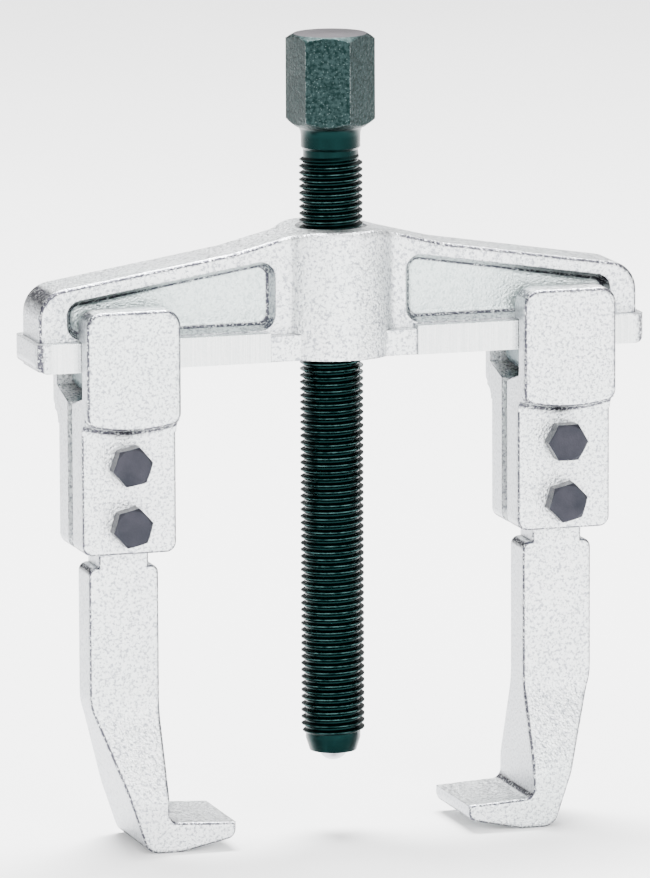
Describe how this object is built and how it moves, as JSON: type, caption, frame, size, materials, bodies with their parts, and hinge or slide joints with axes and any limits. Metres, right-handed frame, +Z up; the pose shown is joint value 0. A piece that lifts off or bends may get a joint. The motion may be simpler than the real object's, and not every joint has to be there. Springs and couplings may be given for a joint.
{
  "type": "gear puller",
  "caption": "Two-jaw sliding-arm puller: forged crossbeam, jaws clamped on its rails, and a threaded forcing screw with a drive hexagon and a ball tip.",
  "frame": {"origin": "on the screw axis at the level of the jaw soles", "axes": "+Z up along the screw, +X along the crossbeam to the right jaw, -Y towards the bolt heads"},
  "size_m": [0.1394, 0.0288, 0.1781],
  "materials": {
    "zinc_forging": "bright zinc plate over a shot-blasted forging, satin with a fine grain",
    "black_screw": "oiled black oxide, semi-gloss",
    "ball_steel": "ground bearing steel",
    "black_fastener": "black oxide, satin",
    "spring_steel": "dark blued spring steel"
  },
  "bodies": {
    "beam": {"crossbeam": "zinc_forging"},
    "ball": {"pressure_ball": "ball_steel"},
    "spindle": {"spindle": "black_screw"},
    "left_jaw": {"left_cheek_front": "zinc_forging", "left_cheek_rear": "zinc_forging", "left_leg": "zinc_forging", "left_bolt_upper": "black_fastener", "left_nut_upper": "black_fastener", "left_bolt_lower": "black_fastener", "left_nut_lower": "black_fastener", "left_brake_spring": "spring_steel"},
    "right_jaw": {"right_cheek_front": "zinc_forging", "right_cheek_rear": "zinc_forging", "right_leg": "zinc_forging", "right_bolt_upper": "black_fastener", "right_nut_upper": "black_fastener", "right_bolt_lower": "black_fastener", "right_nut_lower": "black_fastener", "right_brake_spring": "spring_steel"}
  },
  "joints": [
    {"name": "spindle_feed", "type": "slide", "parent": "beam", "child": "ball", "axis": [0, 0, 1], "range_m": [-0.0165, 0.084]},
    {"name": "spindle_turn", "type": "hinge", "parent": "ball", "child": "spindle", "pos_m": [0, 0, 0.0195], "axis": [0, 0, 1], "range_deg": [-3960, 20160]},
    {"name": "left_jaw_slide", "type": "slide", "parent": "beam", "child": "left_jaw", "axis": [1, 0, 0], "range_m": [-0.008, 0.018]},
    {"name": "right_jaw_slide", "type": "slide", "parent": "beam", "child": "right_jaw", "axis": [1, 0, 0], "range_m": [-0.019, 0.0065]}
  ],
  "couplings": [
    {"joint": "spindle_turn", "follows": "spindle_feed", "rad_per_m": 4188.8}
  ]
}
